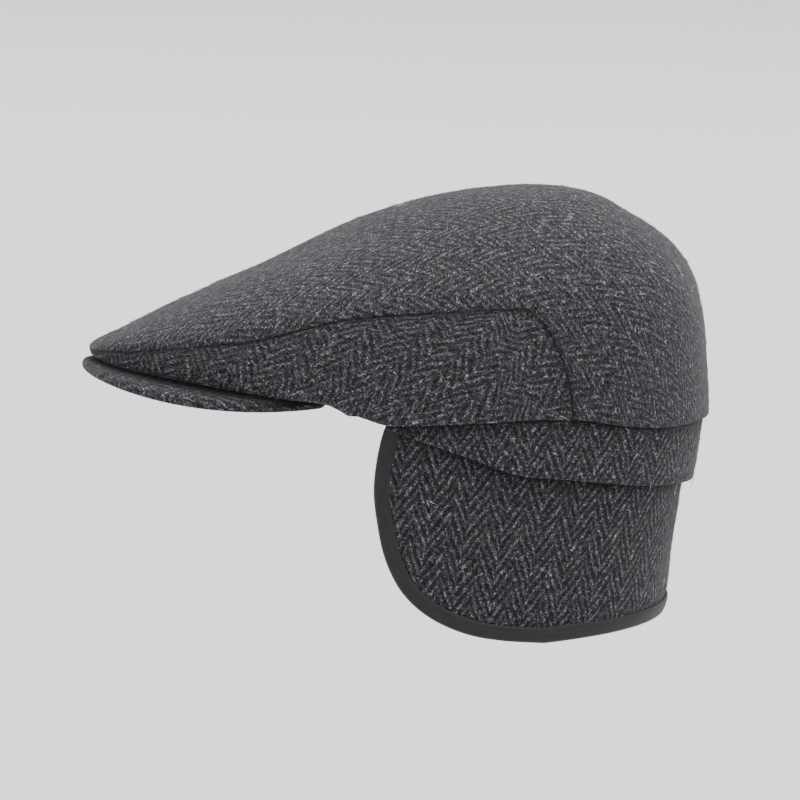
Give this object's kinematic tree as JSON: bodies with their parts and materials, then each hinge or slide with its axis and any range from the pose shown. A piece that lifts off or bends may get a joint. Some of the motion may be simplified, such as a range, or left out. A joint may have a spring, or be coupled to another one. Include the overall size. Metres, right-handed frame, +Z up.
{
  "type": "stable cap",
  "caption": "Charcoal herringbone tweed flat cap with a stiff peak, a band and a fold-down ear and neck flap edged with binding.",
  "frame": {"origin": "middle of the head opening, level with the crown's lower edge, where a head carries the cap", "axes": "-Y towards the peak, +X towards the wearer's left, +Z up out of the crown"},
  "size_m": [0.1774, 0.2803, 0.1948],
  "materials": {
    "tweed": "herringbone wool with short light and dark flecks",
    "binding": "matt woven bias tape"
  },
  "bodies": {
    "root": {"top_panel": "tweed", "side_panel_left": "tweed", "side_panel_right": "tweed", "peak": "tweed", "band": "tweed", "ear_flap": "tweed", "flap_binding": "binding"}
  },
  "joints": []
}
